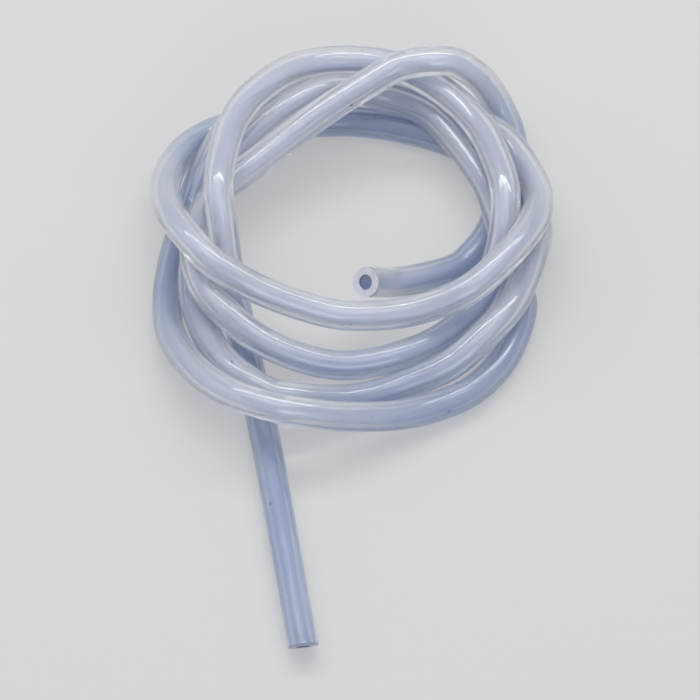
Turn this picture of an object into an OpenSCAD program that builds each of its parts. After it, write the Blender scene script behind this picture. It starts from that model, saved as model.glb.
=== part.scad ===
// Length of soft silicone laboratory tubing, lying in a loose coil of five turns with a straight tail.
// One piece: a round tube with a round bore, cut off and open at both ends.
// Millimetres. +X to the right, +Y away from the front, +Z up. The tubing rests on Z = 0, and the
// origin is the middle of the rectangle that it covers there.

/* [Tubing] */
// Outside diameter of the tubing
tube_od = 6; // [4.5:0.1:6]
// Diameter of the bore
tube_id = 3; // [1.5:0.1:3.4]

/* [Coil] */
// Width of the coil across its widest turns
coil_w = 79.5; // [79.5:0.5:110]
// Straight length of the tail that runs out of the coil to the front
tail_len = 57; // [30:1:120]

/* [Cut ends] */
// Straight length at each end, with a true round bore for a barb
end_len = 8; // [5:0.5:9]
// Slant of the cut at the tail's end, in degrees from a square cut
tail_cut = 33; // [0:1:35]

/* [Facets] */
// Flat sides around the tubing where it curves
sides = 12; // [8:2:14]
// Largest change of direction from one ring to the next, in degrees
ring_turn = 15; // [12:1:20]
// Longest stretch between two rings
ring_gap = 9; // [8:1:20]

/* [Hidden] */
// The turns lie on one another, so the heights below follow the diameter of the tubing.
// They were laid out for tubing of this diameter, in a coil of this width.
laid_od = 6;
laid_w = 79.5;
// The tail: its inner end, where it bends into the coil, and its direction outwards
tail_bend = [-17.5, -43, 3];
tail_dir = [0.147, -0.989, 0];
// From the tail up the left side, over the front and the back of the pile
climb = [
    [-20, -30, 3.5], [-22, -20, 6], [-24, -12, 11.5], [-25, -6, 16.5],
    [-26, 2, 19.5], [-25, 11, 19.5], [-23, 19.5, 18.5]
];
// First turn: over the back of the pile, down the inside of the right and across the front
turn_1 = [
    [-19.5, 26.5, 17.5], [-12.5, 34.5, 15.5], [-7.5, 38, 13.5], [-1, 39.5, 12.5], [5, 39, 12.5],
    [9.5, 37, 13.5], [17.5, 31, 14.5], [25, 22, 15], [28.5, 13.5, 15.5], [30.5, 5.5, 15.5],
    [30.5, -3, 13.5], [29, -9, 10], [26, -16, 6.5], [19, -24, 5.5], [10, -29.5, 6],
    [-1, -32, 6], [-10, -31.5, 8], [-18.5, -28.5, 10.5], [-24, -24.5, 12.5], [-28.5, -18.5, 13]
];
// Second turn: from the left over the top of the back, down to the floor at the right
turn_2 = [
    [-30.5, -11.5, 13.5], [-30.5, -5.5, 13.5], [-28.5, 1, 13.5], [-25, 7, 13], [-19.5, 12.5, 13],
    [-11.5, 19.5, 14], [-5, 24, 16], [2, 28.5, 17.5], [9, 32.5, 19], [13, 33, 20],
    [17, 33, 20.5], [20.5, 33.5, 19.5], [24, 33.5, 16.5], [27, 33.5, 12], [29.5, 32, 7.5],
    [31.5, 28.5, 4.5], [32.5, 23.5, 3], [34.5, 16.5, 3], [36.5, 8, 3.5], [37, 1, 5.5],
    [36, -6.5, 9], [34, -14.5, 10], [31.5, -21, 10.5], [27, -27, 10], [20, -32.5, 7],
    [10.5, -35.5, 4], [2, -39, 4.5], [-5, -41, 6.5], [-10.5, -42, 8.5], [-15, -41.5, 9],
    [-19.5, -39, 9.5], [-26, -31, 8.5], [-30.5, -17, 6.5]
];
// Third turn: the inner edge of the bundle at the back, then the outermost turn in front
turn_3 = [
    [-31, -10, 7], [-29.5, 1, 7.5], [-28, 7, 7.5], [-25.5, 12, 8], [-23.5, 15.5, 9.5],
    [-22, 18, 10.5], [-17.5, 22.5, 12.5], [-11.5, 27, 14], [-6, 30.5, 14], [-1, 33, 12],
    [9, 32.5, 9], [15.5, 29, 9], [23.5, 18, 9], [27, 11, 9], [29, 4, 9],
    [30, 0, 8], [31, -4, 5], [32.5, -9, 3.5], [34, -14.5, 3], [30.5, -27.5, 3],
    [24, -36, 3], [16.5, -40.5, 3.5], [9.5, -44, 5.5], [-1, -47.5, 9.5], [-8, -49, 12.5],
    [-14, -49, 14], [-19.5, -47, 14], [-24, -44, 13], [-28.5, -39, 11], [-32.5, -32, 8.5],
    [-35.5, -22.5, 5], [-36, -12.5, 3], [-35, -4, 3]
];
// Fourth turn: low behind the pile, then round the outside of the right to the top in front
turn_4 = [
    [-34, 1, 3], [-33, 5.5, 3], [-31.5, 10, 3], [-30, 14.5, 4.5], [-28, 18.5, 6],
    [-26, 22, 8], [-22.5, 27, 9], [-16.5, 30.5, 9], [-8.5, 33.5, 9], [-4, 36.5, 7],
    [0, 38, 5.5], [10, 37, 4], [15, 35, 5], [20, 32.5, 6], [26, 27, 8],
    [30.5, 22, 9.5], [34.5, 15, 10], [37, 6, 12.5], [36.5, -2.5, 15.5], [32.5, -11, 17],
    [24, -20, 15.5], [16.5, -22, 12.5], [9.5, -23, 11], [-1.5, -23, 10.5], [-9, -22, 12],
    [-16.5, -20.5, 14.5], [-22.5, -18.5, 17], [-27.5, -16, 19], [-31.5, -11, 19.5]
];
// Last turn: down the outside of the left, along the floor behind and round to the free end
turn_5 = [
    [-35, -4, 18], [-36.5, 6, 13], [-36, 12.5, 10], [-34.5, 18.5, 7], [-32, 24, 4.5],
    [-28.5, 28, 3], [-21.5, 31, 3], [-15.5, 32, 3], [-8, 31.5, 3], [1, 31.5, 3],
    [10, 30, 3], [21.5, 25.5, 3], [26.5, 20.5, 3], [28.5, 14.5, 3], [29, 8.5, 3],
    [27, 2.5, 3], [22, -4.5, 3], [14.5, -10, 6], [8, -14, 9.5]
];
// Direction of the free end, which rises towards the front
free_dir = [-0.55, -0.51, 0.66];

r_out = tube_od / 2;
r_in = tube_id / 2;
// The curved body stays just inside the round ends that it runs into, and is straight there
seam = 0.01;
seam_len = 0.5;
seam_run = 1;
spread = coil_w / laid_w;
lift = tube_od / laid_od;
t_out = tail_dir / norm(tail_dir);
f_out = free_dir / norm(free_dir);

function placed(p) = [p[0] * spread, p[1] * spread, max(r_out, p[2] * lift)];
inner_end = placed(tail_bend);
tail_start = inner_end + t_out * (tail_len - end_len);
laid = [for (p = concat([tail_bend], climb, turn_1, turn_2, turn_3, turn_4, turn_5)) placed(p)];
coil_end = laid[len(laid) - 1];
free_start = coil_end + f_out * seam_run;
route = concat([tail_start, tail_start - t_out * seam_run], laid, [free_start + f_out * end_len]);

// Smooth curve through four neighbouring points, between the second and the third
function curve(p, q, r, s, u) = let (
        a = sqrt(norm(q - p)),
        b = a + sqrt(norm(r - q)),
        c = b + sqrt(norm(s - r)),
        t = a + (b - a) * u,
        pq = ((a - t) * p + t * q) / a,
        qr = ((b - t) * q + (t - a) * r) / (b - a),
        rs = ((c - t) * r + (t - b) * s) / (c - b),
        near = ((b - t) * pq + t * qr) / b,
        far = ((c - t) * qr + (t - a) * rs) / (c - a)
    ) ((b - t) * near + (t - a) * far) / (b - a);
function bend(p, q, r) = acos(min(1, (q - p) * (r - q) / norm(q - p) / norm(r - q)));
function steps(i) = let (
        turning = (bend(route[i - 1], route[i], route[i + 1]) + bend(route[i], route[i + 1], route[i + 2])) / 2
    ) max(1, ceil(turning / ring_turn), ceil(norm(route[i + 1] - route[i]) / ring_gap));
function on_floor(p) = [p[0], p[1], max(r_out, p[2])];

last = len(route) - 2;
axis_points = concat(
    [tail_start],
    [for (i = [1 : last - 1]) let (n = steps(i)) for (k = [0 : n - 1])
        on_floor(curve(route[i - 1], route[i], route[i + 1], route[i + 2], k / n))],
    [coil_end, free_start]
);
rings = len(axis_points);
// Middle of the rectangle that the coil and its tail cover
tail_tip = tail_start + t_out * (end_len + r_out * tan(tail_cut));
xs = [for (p = axis_points) p[0]];
ys = [for (p = axis_points) p[1]];
middle = [(min(xs) + max(xs)) / 2, (tail_tip[1] + max(ys) + r_out) / 2, 0];

function unit(v) = v / norm(v);
function across(v, t) = unit(v - (v * t) * t);
function along(i) = i < 2 ? -t_out : i > rings - 3 ? f_out : unit(axis_points[i + 1] - axis_points[i - 1]);
// Each ring's first spoke is the one before it, turned square to the tubing with no twist
spokes = [for (i = 0, s = across([0, 0, 1], along(0)); i < rings; i = i + 1, s = i < rings ? across(s, along(i)) : s) s];

function ring(i, r) = let (s = spokes[i], b = cross(along(i), s))
    [for (k = [0 : sides - 1]) axis_points[i] + r * (cos(360 * k / sides) * s + sin(360 * k / sides) * b)];

module body() {
    outer = [for (i = [0 : rings - 1]) each ring(i, r_out - seam)];
    inner = [for (i = [0 : rings - 1]) each ring(i, r_in - seam)];
    m = rings * sides;
    e = m - sides;
    walls = [for (i = [0 : rings - 2]) for (k = [0 : sides - 1]) let (
            a = i * sides + k,
            b = i * sides + (k + 1) % sides,
            c = b + sides,
            d = a + sides
        ) each [[a, d, c], [a, c, b], [a + m, c + m, d + m], [a + m, b + m, c + m]]];
    mouths = [for (k = [0 : sides - 1]) let (n = (k + 1) % sides)
        each [[k, n, n + m], [k, n + m, k + m], [e + k, e + k + m, e + n + m], [e + k, e + n + m, e + n]]];
    polyhedron(points = concat(outer, inner), faces = concat(walls, mouths), convexity = 10);
}

// Straight end with a true round wall and bore, running out along the direction d
module cut_end(p, d, slant) {
    side = unit(cross(d, [0, 0, 1]));
    up = cross(side, d);
    reach = end_len + 2 * r_out;
    multmatrix([[side[0], up[0], d[0], p[0]], [side[1], up[1], d[1], p[1]], [side[2], up[2], d[2], p[2]], [0, 0, 0, 1]])
    difference() {
        translate([0, 0, -seam_len])
            cylinder(h = seam_len + reach, r = r_out, $fn = 60);
        translate([0, 0, -2 * seam_len])
            cylinder(h = 3 * seam_len + reach, r = r_in, $fn = 60);
        translate([0, 0, end_len])
            rotate([slant, 0, 0])
                translate([-2 * tube_od, -2 * tube_od, 0])
                    cube([4 * tube_od, 4 * tube_od, 2 * reach]);
    }
}

module tubing() {
    color([0.78, 0.84, 0.9])
    translate(-middle)
    union() {
        body();
        cut_end(tail_start, t_out, tail_cut);
        cut_end(free_start, f_out, 0);
    }
}

tubing();
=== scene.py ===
"""Silicone tubing coil: one length of translucent tubing, lying in a loose coil on a pale floor."""

import math

import bmesh
import bpy
from bpy.props import FloatProperty, FloatVectorProperty, IntProperty, PointerProperty
from bpy.types import Operator, Panel, PropertyGroup
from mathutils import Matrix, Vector


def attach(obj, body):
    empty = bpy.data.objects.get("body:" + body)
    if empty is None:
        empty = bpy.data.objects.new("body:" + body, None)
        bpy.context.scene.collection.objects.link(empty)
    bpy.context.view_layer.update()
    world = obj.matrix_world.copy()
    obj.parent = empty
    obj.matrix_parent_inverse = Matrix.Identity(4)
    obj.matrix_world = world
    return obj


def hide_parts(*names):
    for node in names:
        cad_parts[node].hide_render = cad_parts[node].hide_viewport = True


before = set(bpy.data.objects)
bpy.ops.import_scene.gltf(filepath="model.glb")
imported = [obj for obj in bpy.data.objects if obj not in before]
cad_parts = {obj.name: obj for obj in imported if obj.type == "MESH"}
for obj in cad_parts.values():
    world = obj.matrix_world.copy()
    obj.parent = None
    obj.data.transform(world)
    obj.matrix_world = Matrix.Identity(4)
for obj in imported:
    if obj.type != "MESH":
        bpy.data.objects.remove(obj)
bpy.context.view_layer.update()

bl_info = {
    "name": "Silicone Tubing Coil",
    "version": (1, 0, 0),
    "blender": (4, 5, 0),
    "location": "View3D > Sidebar > Tubing",
    "description": "Builds a loose coil of translucent silicone tubing and its studio stage",
    "category": "Object",
}

# Where the tubing runs, turn by turn, in metres. The origin of these points is under the
# middle of the turns, and MIDDLE moves it to the middle of the rectangle that all of it covers.
MIDDLE = Vector((0.000319, -0.029404, 0))
TAIL_BEND = (-0.0175, -0.043, 0.003)
TAIL_DIR = Vector((0.147, -0.989, 0)).normalized()
TAIL_LENGTH = 0.057
FREE_DIR = Vector((-0.55, -0.51, 0.66)).normalized()
END_LENGTH = 0.008
SEAM_RUN = 0.001
# The straight ends are cut into this many steps
END_STEPS = 9
# From the tail up the left side, over the front and the back of the pile
CLIMB = (
    (-0.02, -0.03, 0.0035), (-0.022, -0.02, 0.006), (-0.024, -0.012, 0.0115), (-0.025, -0.006, 0.0165),
    (-0.026, 0.002, 0.0195), (-0.025, 0.011, 0.0195), (-0.023, 0.0195, 0.0185),
)
# Over the back of the pile, down the inside of the right and across the front
TURN_1 = (
    (-0.0195, 0.0265, 0.0175), (-0.0125, 0.0345, 0.0155), (-0.0075, 0.038, 0.0135), (-0.001, 0.0395, 0.0125),
    (0.005, 0.039, 0.0125), (0.0095, 0.037, 0.0135), (0.0175, 0.031, 0.0145), (0.025, 0.022, 0.015),
    (0.0285, 0.0135, 0.0155), (0.0305, 0.0055, 0.0155), (0.0305, -0.003, 0.0135), (0.029, -0.009, 0.01),
    (0.026, -0.016, 0.0065), (0.019, -0.024, 0.0055), (0.01, -0.0295, 0.006), (-0.001, -0.032, 0.006),
    (-0.01, -0.0315, 0.008), (-0.0185, -0.0285, 0.0105), (-0.024, -0.0245, 0.0125), (-0.0285, -0.0185, 0.013),
)
# From the left over the top of the back, down to the floor at the right
TURN_2 = (
    (-0.0305, -0.0115, 0.0135), (-0.0305, -0.0055, 0.0135), (-0.0285, 0.001, 0.0135), (-0.025, 0.007, 0.013),
    (-0.0195, 0.0125, 0.013), (-0.0115, 0.0195, 0.014), (-0.005, 0.024, 0.016), (0.002, 0.0285, 0.0175),
    (0.009, 0.0325, 0.019), (0.013, 0.033, 0.02), (0.017, 0.033, 0.0205), (0.0205, 0.0335, 0.0195),
    (0.024, 0.0335, 0.0165), (0.027, 0.0335, 0.012), (0.0295, 0.032, 0.0075), (0.0315, 0.0285, 0.0045),
    (0.0325, 0.0235, 0.003), (0.0345, 0.0165, 0.003), (0.0365, 0.008, 0.0035), (0.037, 0.001, 0.0055),
    (0.036, -0.0065, 0.009), (0.034, -0.0145, 0.01), (0.0315, -0.021, 0.0105), (0.027, -0.027, 0.01),
    (0.02, -0.0325, 0.007), (0.0105, -0.0355, 0.004), (0.002, -0.039, 0.0045), (-0.005, -0.041, 0.0065),
    (-0.0105, -0.042, 0.0085), (-0.015, -0.0415, 0.009), (-0.0195, -0.039, 0.0095), (-0.026, -0.031, 0.0085),
    (-0.0305, -0.017, 0.0065),
)
# Along the inner edge of the bundle at the back, then outermost in front
TURN_3 = (
    (-0.031, -0.01, 0.007), (-0.0295, 0.001, 0.0075), (-0.028, 0.007, 0.0075), (-0.0255, 0.012, 0.008),
    (-0.0235, 0.0155, 0.0095), (-0.022, 0.018, 0.0105), (-0.0175, 0.0225, 0.0125), (-0.0115, 0.027, 0.014),
    (-0.006, 0.0305, 0.014), (-0.001, 0.033, 0.012), (0.009, 0.0325, 0.009), (0.0155, 0.029, 0.009),
    (0.0235, 0.018, 0.009), (0.027, 0.011, 0.009), (0.029, 0.004, 0.009), (0.03, 0, 0.008),
    (0.031, -0.004, 0.005), (0.0325, -0.009, 0.0035), (0.034, -0.0145, 0.003), (0.0305, -0.0275, 0.003),
    (0.024, -0.036, 0.003), (0.0165, -0.0405, 0.0035), (0.0095, -0.044, 0.0055), (-0.001, -0.0475, 0.0095),
    (-0.008, -0.049, 0.0125), (-0.014, -0.049, 0.014), (-0.0195, -0.047, 0.014), (-0.024, -0.044, 0.013),
    (-0.0285, -0.039, 0.011), (-0.0325, -0.032, 0.0085), (-0.0355, -0.0225, 0.005), (-0.036, -0.0125, 0.003),
    (-0.035, -0.004, 0.003),
)
# Low behind the pile, then round the outside of the right to the top in front
TURN_4 = (
    (-0.034, 0.001, 0.003), (-0.033, 0.0055, 0.003), (-0.0315, 0.01, 0.003), (-0.03, 0.0145, 0.0045),
    (-0.028, 0.0185, 0.006), (-0.026, 0.022, 0.008), (-0.0225, 0.027, 0.009), (-0.0165, 0.0305, 0.009),
    (-0.0085, 0.0335, 0.009), (-0.004, 0.0365, 0.007), (0, 0.038, 0.0055), (0.01, 0.037, 0.004),
    (0.015, 0.035, 0.005), (0.02, 0.0325, 0.006), (0.026, 0.027, 0.008), (0.0305, 0.022, 0.0095),
    (0.0345, 0.015, 0.01), (0.037, 0.006, 0.0125), (0.0365, -0.0025, 0.0155), (0.0325, -0.011, 0.017),
    (0.024, -0.02, 0.0155), (0.0165, -0.022, 0.0125), (0.0095, -0.023, 0.011), (-0.0015, -0.023, 0.0105),
    (-0.009, -0.022, 0.012), (-0.0165, -0.0205, 0.0145), (-0.0225, -0.0185, 0.017), (-0.0275, -0.016, 0.019),
    (-0.0315, -0.011, 0.0195),
)
# Down the outside of the left, along the floor behind and round to the free end
TURN_5 = (
    (-0.035, -0.004, 0.018), (-0.0365, 0.006, 0.013), (-0.036, 0.0125, 0.01), (-0.0345, 0.0185, 0.007),
    (-0.032, 0.024, 0.0045), (-0.0285, 0.028, 0.003), (-0.0215, 0.031, 0.003), (-0.0155, 0.032, 0.003),
    (-0.008, 0.0315, 0.003), (0.001, 0.0315, 0.003), (0.01, 0.03, 0.003), (0.0215, 0.0255, 0.003),
    (0.0265, 0.0205, 0.003), (0.0285, 0.0145, 0.003), (0.029, 0.0085, 0.003), (0.027, 0.0025, 0.003),
    (0.022, -0.0045, 0.003), (0.0145, -0.01, 0.006), (0.008, -0.014, 0.0095),
)

SILICONE_IOR = 1.41
SPECK_BRIGHTNESS = 2.5
# How the drawn skin's streaks are drawn out along the tubing, and how fine they are
STREAK_STRETCH = 0.08
STREAK_SCALE = 700.0
# Painted light: the turns are painted whiter from this height above the floor up to this share, for the light
# that the stacked turns scatter, and real milky clouds add up to this much
PILE_LIGHT_FOOT = 0.003
PILE_LIGHT_SHARE = 0.9
CLOUD_MILK = 0.2
# Painted shade: the bore's wall is painted darker from its mouth to here, and then the painted shade fades
MOUTH_SHADE_DEPTH = 0.006
MOUTH_SHADE_FADE = 0.009
DUST_COLOUR = (0.12, 0.13, 0.16)
BUBBLE_COLOUR = (1.0, 1.0, 1.0)
CUT_MILK_COLOUR = (0.68, 0.68, 0.76)
CUT_MARK_COLOUR = (0.36, 0.42, 0.56)
STUDIO_COLOUR = (0.94, 0.97, 1.0)
FLOOR_REACH = 3
AIM = (0, -0.02348, 0)
# Name, place, width and depth, watts and colour. Each lamp points at the origin.
LAMPS = (
    ("Back strip", (0.0, 0.36, 0.72), (1.1, 0.06), 3.0, (1.0, 0.99, 0.96)),
    ("Left softbox", (-0.5, 0.1, 0.62), (0.4, 0.9), 0.8, (1.0, 1.0, 1.0)),
    ("Front fill", (0.2, -0.7, 0.5), (0.5, 0.3), 1.0, (0.95, 0.97, 1.0)),
    ("Top softbox", (0.05, 0.05, 0.9), (0.6, 0.6), 1.5, (1.0, 1.0, 1.0)),
)


def placed(point):
    """A point of the route in the part's own frame."""
    return Vector(point) - MIDDLE


def smooth_line(points, gap):
    """A smooth curve through all points but the first and last, with a point every gap or so."""
    line = []
    for p, q, r, s in zip(points, points[1:], points[2:], points[3:]):
        a = math.sqrt((q - p).length)
        b = a + math.sqrt((r - q).length)
        c = b + math.sqrt((s - r).length)
        count = max(1, round((r - q).length / gap))
        for k in range(count):
            t = a + (b - a) * k / count
            pq = ((a - t) * p + t * q) / a
            qr = ((b - t) * q + (t - a) * r) / (b - a)
            rs = ((c - t) * r + (t - b) * s) / (c - b)
            near = ((b - t) * pq + t * qr) / b
            far = ((c - t) * qr + (t - a) * rs) / (c - a)
            line.append(((b - t) * near + (t - a) * far) / (b - a))
    line.append(points[-2])
    return line


def centre_line(radius, gap):
    """The middle of the tubing from the tail's cut end to the free end, never below the floor's contact."""
    bend = placed(TAIL_BEND)
    turns = [placed(p) for turn in (CLIMB, TURN_1, TURN_2, TURN_3, TURN_4, TURN_5) for p in turn]
    straight = END_LENGTH + SEAM_RUN
    tail_end = bend + TAIL_DIR * TAIL_LENGTH
    tail_start = tail_end - TAIL_DIR * straight
    free_end = turns[-1] + FREE_DIR * straight
    line = smooth_line([tail_end, tail_start, bend] + turns + [free_end], gap)
    for p in line:
        p.z = max(radius, p.z)
    lead = [tail_end.lerp(tail_start, k / END_STEPS) for k in range(END_STEPS)]
    lead_out = [turns[-1].lerp(free_end, k / END_STEPS) for k in range(1, END_STEPS + 1)]
    return lead + line + lead_out


# Helpers for node trees


def new_material(name):
    """An empty node material, with its Principled shader and output in place."""
    material = bpy.data.materials.new(name)
    material.use_nodes = True
    tree = material.node_tree
    tree.nodes.clear()
    shader = tree.nodes.new("ShaderNodeBsdfPrincipled")
    output = tree.nodes.new("ShaderNodeOutputMaterial")
    tree.links.new(shader.outputs["BSDF"], output.inputs["Surface"])
    return material, tree, shader


def add(tree, kind, values=None, **settings):
    """A node of this kind, with its settings and its inputs' values or links set."""
    node = tree.nodes.new(kind)
    for name, value in settings.items():
        setattr(node, name, value)
    for name, value in (values or {}).items():
        socket = node.inputs[name]
        if isinstance(value, bpy.types.NodeSocket):
            tree.links.new(value, socket)
        else:
            socket.default_value = value
    return node


def make_group(name, kind, inputs, outputs):
    """An empty node group with its named inputs and outputs, and its two end nodes."""
    group = bpy.data.node_groups.new(name, kind)
    for label, socket_type, value in inputs:
        socket = group.interface.new_socket(label, in_out="INPUT", socket_type=socket_type)
        if value is not None:
            socket.default_value = value
    for label, socket_type in outputs:
        group.interface.new_socket(label, in_out="OUTPUT", socket_type=socket_type)
    return group, group.nodes.new("NodeGroupInput"), group.nodes.new("NodeGroupOutput")


# Materials


def flecks_group():
    """Dust and small bubbles: sparse round specks, as a mask, and slow clouds of milkiness."""
    group, start, end = make_group("Flecks and milk", "ShaderNodeTree", [
        ("Cell Scale", "NodeSocketFloat", 260.0),
        ("Speck Size", "NodeSocketFloat", 0.05),
        ("Rarity", "NodeSocketFloat", 0.97),
        ("Cloud Scale", "NodeSocketFloat", 60.0),
    ], [("Specks", "NodeSocketFloat"), ("Clouds", "NodeSocketFloat")])
    coord = add(group, "ShaderNodeTexCoord")
    cells = add(group, "ShaderNodeTexVoronoi", {
        "Vector": coord.outputs["Object"], "Scale": start.outputs["Cell Scale"], "Randomness": 1.0})
    round_speck = add(group, "ShaderNodeMapRange", {
        "Value": cells.outputs["Distance"], "From Min": start.outputs["Speck Size"], "From Max": 0.0,
        "To Min": 0.0, "To Max": SPECK_BRIGHTNESS})
    pick = add(group, "ShaderNodeSeparateColor", {"Color": cells.outputs["Color"]})
    kept = add(group, "ShaderNodeMath", {0: pick.outputs["Red"], 1: start.outputs["Rarity"]},
               operation="GREATER_THAN")
    specks = add(group, "ShaderNodeMath", {0: round_speck.outputs["Result"], 1: kept.outputs["Value"]},
                 operation="MULTIPLY", use_clamp=True)
    noise = add(group, "ShaderNodeTexNoise", {
        "Vector": coord.outputs["Object"], "Scale": start.outputs["Cloud Scale"], "Detail": 3.0})
    clouds = add(group, "ShaderNodeMapRange", {
        "Value": noise.outputs["Fac"], "From Min": 0.35, "From Max": 0.65, "To Min": 0.0, "To Max": 1.0})
    group.links.new(specks.outputs["Value"], end.inputs["Specks"])
    group.links.new(clouds.outputs["Result"], end.inputs["Clouds"])
    return group


def mixed_colour(tree, factor, low, high):
    """A colour between two colours or links."""
    node = add(tree, "ShaderNodeMix", data_type="RGBA")
    tree.links.new(factor, node.inputs["Factor"])
    for label, value in (("A", low), ("B", high)):
        if isinstance(value, bpy.types.NodeSocket):
            tree.links.new(value, node.inputs[label])
        else:
            node.inputs[label].default_value = (*value, 1)
    return node.outputs["Result"]


def silicone_material(settings, flecks, length):
    """Milky, slightly blue silicone with a smooth drawn skin, faintly streaked along its length.

    The pile's upper turns are painted whiter with their height, as painted light for the light that the stacked
    turns scatter, and the bore's wall just inside its two mouths is painted darker, as painted shade. The
    length is the line's that the tubing is swept along.
    """
    material, tree, shader = new_material("Milky silicone")
    marks = add(tree, "ShaderNodeGroup", {"Speck Size": 0.09, "Rarity": 0.85}, node_tree=flecks)
    bubbles = add(tree, "ShaderNodeGroup", {"Cell Scale": 520.0, "Speck Size": 0.09, "Rarity": 0.8},
                  node_tree=flecks)
    coord = add(tree, "ShaderNodeTexCoord")
    place = add(tree, "ShaderNodeSeparateXYZ", {"Vector": coord.outputs["Object"]})
    # Painted light: the higher turns are painted whiter and the low turns stay darker, for the light scattered
    # through the pile
    pile = add(tree, "ShaderNodeMapRange", {
        "Value": place.outputs["Z"], "From Min": PILE_LIGHT_FOOT, "From Max": settings.pile_light_height,
        "To Min": 0.0, "To Max": PILE_LIGHT_SHARE})
    # This share is the real milky clouds plus the painted light of the pile
    milk = add(tree, "ShaderNodeMath", {
        0: marks.outputs["Clouds"], 1: CLOUD_MILK, 2: pile.outputs["Result"]},
        operation="MULTIPLY_ADD", use_clamp=True)
    wall = mixed_colour(tree, milk.outputs["Value"], settings.silicone_colour, settings.milk_and_pile_light_colour)
    spoke = add(tree, "ShaderNodeAttribute", attribute_name="spoke")
    reach = add(tree, "ShaderNodeVectorMath", {0: spoke.outputs["Vector"]}, operation="LENGTH")
    inside = add(tree, "ShaderNodeMapRange", {
        "Value": reach.outputs["Value"], "From Min": settings.outside_diameter / 2,
        "From Max": settings.bore_diameter / 2, "To Min": 0.0, "To Max": 1.0})
    body = mixed_colour(tree, inside.outputs["Result"], wall, settings.bore_colour)
    # Painted shade: the bore's wall is painted darker on its front faces just inside the two cut ends
    along = add(tree, "ShaderNodeAttribute", attribute_name="along")
    ahead = add(tree, "ShaderNodeMath", {0: along.outputs["Fac"], 1: length / 2}, operation="SUBTRACT")
    off_middle = add(tree, "ShaderNodeMath", {0: ahead.outputs["Value"]}, operation="ABSOLUTE")
    mouth = add(tree, "ShaderNodeMapRange", {
        "Value": off_middle.outputs["Value"], "From Min": length / 2 - MOUTH_SHADE_FADE,
        "From Max": length / 2 - MOUTH_SHADE_DEPTH, "To Min": 0.0, "To Max": 1.0})
    facing = add(tree, "ShaderNodeNewGeometry")
    open_side = add(tree, "ShaderNodeMath", {0: 1.0, 1: facing.outputs["Backfacing"]}, operation="SUBTRACT")
    shaded = add(tree, "ShaderNodeMath", {
        0: mouth.outputs["Result"], 1: open_side.outputs["Value"]}, operation="MULTIPLY")
    painted_mouth_shade = add(tree, "ShaderNodeMath", {
        0: shaded.outputs["Value"], 1: inside.outputs["Result"]}, operation="MULTIPLY")
    with_mouth_shade = mixed_colour(tree, painted_mouth_shade.outputs["Value"], body, settings.mouth_shade_colour)
    dusty = mixed_colour(tree, marks.outputs["Specks"], with_mouth_shade, DUST_COLOUR)
    shown = mixed_colour(tree, bubbles.outputs["Specks"], dusty, BUBBLE_COLOUR)
    tree.links.new(shown, shader.inputs["Base Color"])
    skin = add(tree, "ShaderNodeAttribute", attribute_name="skin")
    streaks = add(tree, "ShaderNodeTexNoise", {
        "Vector": skin.outputs["Vector"], "Scale": STREAK_SCALE, "Detail": 3.0})
    rough = add(tree, "ShaderNodeMapRange", {
        "Value": streaks.outputs["Fac"], "From Min": 0.35, "From Max": 0.7,
        "To Min": settings.gloss_low, "To Max": settings.gloss_high})
    tree.links.new(rough.outputs["Result"], shader.inputs["Roughness"])
    bump = add(tree, "ShaderNodeBump", {"Height": streaks.outputs["Fac"], "Strength": 0.08, "Distance": 0.0001})
    tree.links.new(bump.outputs["Normal"], shader.inputs["Normal"])
    shader.inputs["IOR"].default_value = SILICONE_IOR
    shader.inputs["Transmission Weight"].default_value = settings.clearness
    shader.inputs["Sheen Weight"].default_value = settings.rim
    shader.inputs["Sheen Roughness"].default_value = 0.3
    shader.inputs["Coat Weight"].default_value = settings.skin_gloss
    shader.inputs["Coat Roughness"].default_value = 0.16
    shader.inputs["Coat IOR"].default_value = SILICONE_IOR
    return material


def cut_material(settings, flecks):
    """The cut faces: whitish and matt, roughened by the blade."""
    material, tree, shader = new_material("Cut silicone")
    marks = add(tree, "ShaderNodeGroup", {
        "Cell Scale": 900.0, "Rarity": 0.8, "Cloud Scale": 500.0}, node_tree=flecks)
    face = mixed_colour(tree, marks.outputs["Clouds"], settings.cut_colour, CUT_MILK_COLOUR)
    shown = mixed_colour(tree, marks.outputs["Specks"], face, CUT_MARK_COLOUR)
    tree.links.new(shown, shader.inputs["Base Color"])
    shader.inputs["Roughness"].default_value = 0.6
    bump = add(tree, "ShaderNodeBump", {
        "Height": marks.outputs["Clouds"], "Strength": 0.15, "Distance": 0.0001})
    tree.links.new(bump.outputs["Normal"], shader.inputs["Normal"])
    shader.inputs["IOR"].default_value = SILICONE_IOR
    return material


def seen_rays(tree):
    """1 for what the camera sees directly, in gloss or through glass, and 0 for light on other surfaces."""
    path = add(tree, "ShaderNodeLightPath")
    seen = path.outputs["Is Camera Ray"]
    for kind in ("Is Glossy Ray", "Is Transmission Ray"):
        either = add(tree, "ShaderNodeMath", {0: seen, 1: path.outputs[kind]}, operation="MAXIMUM")
        seen = either.outputs["Value"]
    return seen


def floor_material(name, colour, backdrop, share):
    """Plain matt card. The camera, gloss and glass see part of it as an even pale backdrop."""
    material, tree, shader = new_material(name)
    shader.inputs["Base Color"].default_value = (*colour, 1)
    shader.inputs["Roughness"].default_value = 0.9
    shader.inputs["Specular IOR Level"].default_value = 0.1
    even = add(tree, "ShaderNodeEmission", {"Color": (*backdrop, 1), "Strength": 1.0})
    part = add(tree, "ShaderNodeMath", {0: seen_rays(tree), 1: share}, operation="MULTIPLY")
    both = add(tree, "ShaderNodeMixShader", {
        "Fac": part.outputs["Value"], 1: shader.outputs["BSDF"], 2: even.outputs["Emission"]})
    output = [node for node in tree.nodes if node.type == "OUTPUT_MATERIAL"][0]
    tree.links.new(both.outputs["Shader"], output.inputs["Surface"])
    return material


# Mesh


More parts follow.
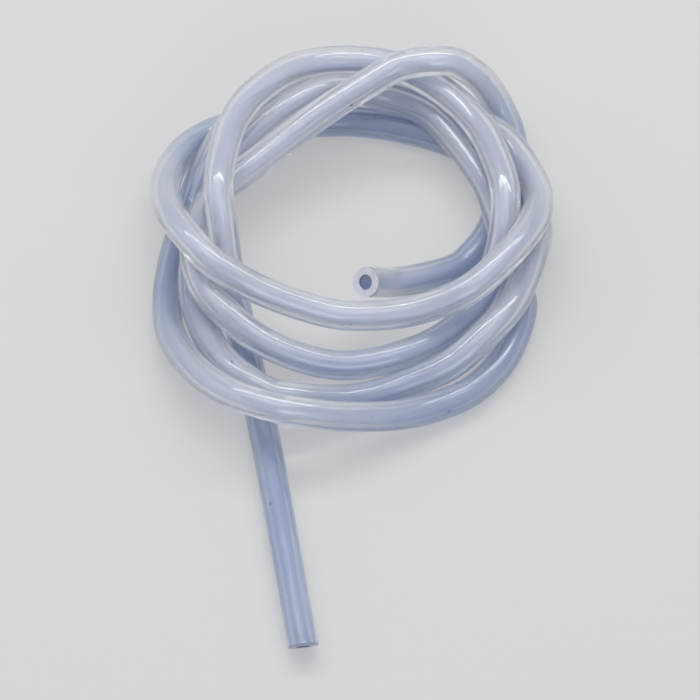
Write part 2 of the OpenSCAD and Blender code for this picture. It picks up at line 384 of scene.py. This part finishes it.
def tube_tree():
    """Sweeps a round wall and a round bore along a line, as two open skins that face away from the wall."""
    group, start, end = make_group("Tubing along a line", "GeometryNodeTree", [
        ("Line", "NodeSocketGeometry", None),
        ("Outside Radius", "NodeSocketFloat", 0.003),
        ("Bore Radius", "NodeSocketFloat", 0.0015),
        ("Outside Sides", "NodeSocketInt", 32),
        ("Bore Sides", "NodeSocketInt", 24),
        ("Material", "NodeSocketMaterial", None),
    ], [("Tubing", "NodeSocketGeometry")])
    path = add(group, "GeometryNodeMeshToCurve", {"Mesh": start.outputs["Line"]})
    length = add(group, "GeometryNodeSplineParameter")
    marked = add(group, "GeometryNodeStoreNamedAttribute", {
        "Geometry": path.outputs["Curve"], "Name": "along", "Value": length.outputs["Length"]},
        data_type="FLOAT", domain="POINT")
    skins = []
    walls = (("Outside Radius", "Outside Sides", False), ("Bore Radius", "Bore Sides", True))
    for radius, sides, flip in walls:
        ring = add(group, "GeometryNodeCurvePrimitiveCircle", {
            "Resolution": start.outputs[sides], "Radius": start.outputs[radius]})
        spot = add(group, "GeometryNodeInputPosition")
        kept = add(group, "GeometryNodeStoreNamedAttribute", {
            "Geometry": ring.outputs["Curve"], "Name": "spoke", "Value": spot.outputs["Position"]},
            data_type="FLOAT_VECTOR", domain="POINT")
        swept = add(group, "GeometryNodeCurveToMesh", {
            "Curve": marked.outputs["Geometry"], "Profile Curve": kept.outputs["Geometry"], "Fill Caps": False})
        skin = swept.outputs["Mesh"]
        if flip:
            skin = add(group, "GeometryNodeFlipFaces", {"Mesh": skin}).outputs["Mesh"]
        skins.append(skin)
    joined = add(group, "GeometryNodeJoinGeometry")
    for skin in skins:
        group.links.new(skin, joined.inputs["Geometry"])
    spoke = add(group, "GeometryNodeInputNamedAttribute", {"Name": "spoke"}, data_type="FLOAT_VECTOR")
    along = add(group, "GeometryNodeInputNamedAttribute", {"Name": "along"}, data_type="FLOAT")
    parts = add(group, "ShaderNodeSeparateXYZ", {"Vector": spoke.outputs["Attribute"]})
    drawn = add(group, "ShaderNodeMath", {
        0: along.outputs["Attribute"], 1: STREAK_STRETCH}, operation="MULTIPLY")
    unrolled = add(group, "ShaderNodeCombineXYZ", {
        "X": parts.outputs["X"], "Y": parts.outputs["Y"], "Z": drawn.outputs["Value"]})
    stored = add(group, "GeometryNodeStoreNamedAttribute", {
        "Geometry": joined.outputs["Geometry"], "Name": "skin", "Value": unrolled.outputs["Vector"]},
        data_type="FLOAT_VECTOR", domain="POINT")
    smooth = add(group, "GeometryNodeSetShadeSmooth", {"Geometry": stored.outputs["Geometry"]})
    real = add(group, "GeometryNodeRealizeInstances", {"Geometry": smooth.outputs["Geometry"]})
    dressed = add(group, "GeometryNodeSetMaterial", {
        "Geometry": real.outputs["Geometry"], "Material": start.outputs["Material"]})
    group.links.new(dressed.outputs["Geometry"], end.inputs["Tubing"])
    return group


def line_object(name, points):
    """A bare line of edges through these points."""
    mesh = bpy.data.meshes.new(name)
    mesh.from_pydata([tuple(p) for p in points], [(i, i + 1) for i in range(len(points) - 1)], [])
    obj = bpy.data.objects.new(name, mesh)
    bpy.context.scene.collection.objects.link(obj)
    return obj


def run_nodes(obj, group, values):
    """The plain mesh that a node group makes of this object. The modifier is taken off again."""
    modifier = obj.modifiers.new("nodes", "NODES")
    modifier.node_group = group
    keys = {
        socket.name: socket.identifier for socket in group.interface.items_tree
        if socket.item_type == "SOCKET" and socket.in_out == "INPUT"}
    for label, value in values.items():
        modifier[keys[label]] = value
    obj.update_tag()
    bpy.context.view_layer.update()
    depsgraph = bpy.context.evaluated_depsgraph_get()
    mesh = bpy.data.meshes.new_from_object(
        obj.evaluated_get(depsgraph), preserve_all_data_layers=True, depsgraph=depsgraph)
    obj.modifiers.remove(modifier)
    return mesh


def cut_and_close(mesh, tail_end, tail_normal, reach):
    """Cuts the tail off on its slant, and closes the wall between skin and bore at both ends.

    An open edge within reach of the tail's end belongs to the tail.
    """
    bm = bmesh.new()
    bm.from_mesh(mesh)
    bmesh.ops.bisect_plane(bm, geom=bm.verts[:] + bm.edges[:] + bm.faces[:], dist=1e-7,
                           plane_co=tail_end, plane_no=tail_normal, clear_outer=True)
    rims = [e for e in bm.edges if len(e.link_faces) == 1]
    tail = [e for e in rims if all((v.co - tail_end).length < reach for v in e.verts)]
    free = [e for e in rims if e not in set(tail)]
    for face in bm.faces:
        face.material_index = 0
    for rim in (tail, free):
        made = bmesh.ops.bridge_loops(bm, edges=rim)["faces"]
        for face in made:
            face.material_index = 1
            face.smooth = False
    bmesh.ops.recalc_face_normals(bm, faces=bm.faces[:])
    bm.to_mesh(mesh)
    bm.free()


# Settings


class TubingSettings(PropertyGroup):
    """Sizes and colours of the tubing"""

    outside_diameter: FloatProperty(
        name="Outside Diameter", description="Outside diameter of the tubing", default=0.006,
        min=0.0045, max=0.006, subtype="DISTANCE", unit="LENGTH")
    bore_diameter: FloatProperty(
        name="Bore", description="Diameter of the bore", default=0.003, min=0.0015, max=0.0034,
        subtype="DISTANCE", unit="LENGTH")
    tail_cut: FloatProperty(
        name="Tail Cut", description="Slant of the cut at the tail's end", default=math.radians(33),
        min=0, max=math.radians(35), subtype="ANGLE", unit="ROTATION")
    ring_gap: FloatProperty(
        name="Ring Gap", description="Distance between two rings of the mesh", default=0.0012,
        min=0.0008, max=0.003, subtype="DISTANCE", unit="LENGTH")
    outside_sides: IntProperty(
        name="Outside Sides", description="Faces round the outside", default=32, min=16, max=48)
    bore_sides: IntProperty(name="Bore Sides", description="Faces round the bore", default=24, min=12, max=32)
    silicone_colour: FloatVectorProperty(
        name="Silicone", description="Colour of the silicone where it is clearest", default=(0.47, 0.57, 0.79),
        min=0, max=1, subtype="COLOR")
    # Both the colour of the cloudiest silicone and the colour that the higher turns are painted towards as
    # painted light
    milk_and_pile_light_colour: FloatVectorProperty(
        name="Milk", description="Colour of the silicone where it is cloudiest", default=(0.96, 0.97, 1.0),
        min=0, max=1, subtype="COLOR")
    # Painted light: the turns are painted whitest from this height up
    pile_light_height: FloatProperty(
        name="Pile Height", description="Height of the pile at which the turns look whitest", default=0.013,
        min=0.005, max=0.05, subtype="DISTANCE", unit="LENGTH")
    bore_colour: FloatVectorProperty(
        name="Bore", description="Colour of the bore's wall", default=(0.64, 0.71, 0.88), min=0, max=1,
        subtype="COLOR")
    # Painted shade: the bore's wall just inside the cut ends is painted this dark colour
    mouth_shade_colour: FloatVectorProperty(
        name="Mouth", description="Colour of the bore's wall just inside the cut ends",
        default=(0.16, 0.22, 0.45), min=0, max=1, subtype="COLOR")
    cut_colour: FloatVectorProperty(
        name="Cut Face", description="Colour of the cut faces", default=(0.56, 0.57, 0.66), min=0, max=1,
        subtype="COLOR")
    clearness: FloatProperty(
        name="Clearness", description="How much light passes through the wall", default=0.77, min=0, max=1,
        subtype="FACTOR")
    rim: FloatProperty(
        name="Rim", description="Pale sheen along the edges of the tubing", default=0.3, min=0, max=1,
        subtype="FACTOR")
    skin_gloss: FloatProperty(
        name="Skin Gloss", description="Crisp gloss of the drawn skin over the milky wall", default=0.7,
        min=0, max=1, subtype="FACTOR")
    gloss_low: FloatProperty(
        name="Smooth", description="Roughness where the skin is smoothest", default=0.12, min=0, max=1,
        subtype="FACTOR")
    gloss_high: FloatProperty(
        name="Smeared", description="Roughness where the skin is most smeared", default=0.22, min=0, max=1,
        subtype="FACTOR")


class StageSettings(PropertyGroup):
    """Camera, floor and light"""

    view_angle: FloatProperty(
        name="View Angle", description="Height of the camera above the horizon", default=math.radians(52),
        min=0, max=math.radians(90), subtype="ANGLE", unit="ROTATION")
    frame_width: FloatProperty(
        name="Frame Width", description="Width of what the camera sees at the coil", default=0.138,
        min=0.05, max=0.5, subtype="DISTANCE", unit="LENGTH")
    # With a longer lens than this, other views would see the object past their clip distance
    lens: FloatProperty(name="Lens", description="Focal length in millimetres", default=1500, min=50, max=1700)
    floor_colour: FloatVectorProperty(
        name="Floor", description="Colour of the floor", default=(0.6, 0.6, 0.6), min=0, max=1, subtype="COLOR")
    light_bounces: IntProperty(
        name="Light Bounces", description="Walls that light may pass on its way through the pile", default=32,
        min=12, max=64)
    world_light: FloatProperty(
        name="World Light", description="Strength of the light from all round", default=0.45, min=0, max=2)
    world_seen: FloatProperty(
        name="World Seen", description="Brightness of the surroundings in gloss and glass", default=0.8,
        min=0, max=2)
    backdrop_colour: FloatVectorProperty(
        name="Backdrop", description="Even colour that the camera and clear pieces see",
        default=(0.72, 0.73, 0.75), min=0, max=1, subtype="COLOR")
    backdrop_share: FloatProperty(
        name="Backdrop Share", description="How much of the floor shows the even colour", default=0.5,
        min=0, max=1, subtype="FACTOR")


# Operators


class OBJECT_OT_tubing_camera(Operator):
    """Camera above the front of the coil, with a long lens"""

    bl_idname = "tubing.camera"
    bl_label = "Add Camera"

    def execute(self, context):
        settings = context.scene.tubing_stage
        data = bpy.data.cameras.new("Camera")
        data.lens = settings.lens
        data.sensor_width = 36.0
        reach = settings.frame_width / 2 / (data.sensor_width / 2 / data.lens)
        data.clip_start = reach * 0.05
        data.clip_end = reach * 10
        camera = bpy.data.objects.new("Camera", data)
        aim = placed(AIM)
        towards = Vector((0, -math.cos(settings.view_angle), math.sin(settings.view_angle)))
        camera.location = aim + reach * towards
        camera.rotation_euler = (math.pi / 2 - settings.view_angle, 0, 0)
        context.scene.collection.objects.link(camera)
        context.scene.camera = camera
        return {"FINISHED"}


class OBJECT_OT_tubing_coil(Operator):
    """The one length of tubing, from the tail's slanted cut to the free end's square one"""

    bl_idname = "tubing.coil"
    bl_label = "Add Tubing"

    def execute(self, context):
        settings = context.scene.tubing
        radius = settings.outside_diameter / 2
        line = centre_line(radius, settings.ring_gap)
        side = TAIL_DIR.cross(Vector((0, 0, 1))).normalized()
        up = side.cross(TAIL_DIR)
        normal = TAIL_DIR * math.cos(settings.tail_cut) - up * math.sin(settings.tail_cut)
        tail_end = line[0]
        beyond = [tail_end + TAIL_DIR * radius * k / 3 for k in (3, 2, 1)]
        source = line_object("Centre line", beyond + line)
        flecks = flecks_group()
        length = sum((b - a).length for a, b in zip(line, line[1:]))
        skin = silicone_material(settings, flecks, length + radius)
        mesh = run_nodes(source, tube_tree(), {
            "Outside Radius": radius, "Bore Radius": settings.bore_diameter / 2,
            "Outside Sides": settings.outside_sides, "Bore Sides": settings.bore_sides,
            "Material": skin})
        bpy.data.objects.remove(source)
        mesh.materials.clear()
        for material in (skin, cut_material(settings, flecks)):
            mesh.materials.append(material)
        cut_and_close(mesh, tail_end, normal, settings.outside_diameter)
        coil = bpy.data.objects.new("silicone_tubing", mesh)
        context.scene.collection.objects.link(coil)
        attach(coil, "root")
        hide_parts("tubing")
        return {"FINISHED"}


class OBJECT_OT_tubing_stage(Operator):
    """Plain pale floor with soft studio light"""

    bl_idname = "tubing.stage"
    bl_label = "Add Stage"

    def execute(self, context):
        settings = context.scene.tubing_stage
        mesh = bpy.data.meshes.new("Floor")
        corners = [(x * FLOOR_REACH, y * FLOOR_REACH, 0) for x, y in ((-1, -1), (1, -1), (1, 1), (-1, 1))]
        mesh.from_pydata(corners, [], [(0, 1, 2, 3)])
        mesh.materials.append(floor_material(
            "Pale card", settings.floor_colour, settings.backdrop_colour, settings.backdrop_share))
        floor = bpy.data.objects.new("Floor", mesh)
        context.scene.collection.objects.link(floor)
        world = bpy.data.worlds.new("Studio")
        context.scene.world = world
        world.use_nodes = True
        tree = world.node_tree
        background = tree.nodes["Background"]
        background.inputs["Color"].default_value = (*STUDIO_COLOUR, 1)
        strength = add(tree, "ShaderNodeMapRange", {
            "Value": seen_rays(tree), "From Min": 0.0, "From Max": 1.0,
            "To Min": settings.world_light, "To Max": settings.world_seen})
        tree.links.new(strength.outputs["Result"], background.inputs["Strength"])
        for name, place, size, power, colour in LAMPS:
            data = bpy.data.lights.new(name, "AREA")
            data.shape = "RECTANGLE"
            data.size, data.size_y = size
            data.energy = power
            data.color = colour
            lamp = bpy.data.objects.new(name, data)
            lamp.location = place
            lamp.rotation_euler = (-Vector(place)).to_track_quat("-Z", "Y").to_euler()
            context.scene.collection.objects.link(lamp)
        context.scene.view_settings.view_transform = "Standard"
        context.scene.cycles.max_bounces = settings.light_bounces
        context.scene.cycles.transmission_bounces = settings.light_bounces
        return {"FINISHED"}


class VIEW3D_PT_tubing(Panel):
    """Sizes, colours and steps of the tubing coil"""

    bl_label = "Silicone Tubing"
    bl_space_type = "VIEW_3D"
    bl_region_type = "UI"
    bl_category = "Tubing"

    def draw(self, context):
        layout = self.layout
        for group in (context.scene.tubing, context.scene.tubing_stage):
            column = layout.column()
            for name in group.__annotations__:
                column.prop(group, name)
        for step in STEPS:
            layout.operator(step)


STEPS = ("tubing.camera", "tubing.coil", "tubing.stage")
CLASSES = (
    TubingSettings, StageSettings, OBJECT_OT_tubing_camera, OBJECT_OT_tubing_coil, OBJECT_OT_tubing_stage,
    VIEW3D_PT_tubing,
)


def register():
    """Adds the classes and their settings."""
    for cls in CLASSES:
        bpy.utils.register_class(cls)
    bpy.types.Scene.tubing = PointerProperty(type=TubingSettings)
    bpy.types.Scene.tubing_stage = PointerProperty(type=StageSettings)


def unregister():
    """Takes them away again."""
    del bpy.types.Scene.tubing_stage
    del bpy.types.Scene.tubing
    for cls in reversed(CLASSES):
        bpy.utils.unregister_class(cls)


def main():
    """Makes the camera, the tubing and the stage."""
    register()
    bpy.ops.tubing.camera()
    bpy.ops.tubing.coil()
    bpy.ops.tubing.stage()


if __name__ == "__main__":
    main()
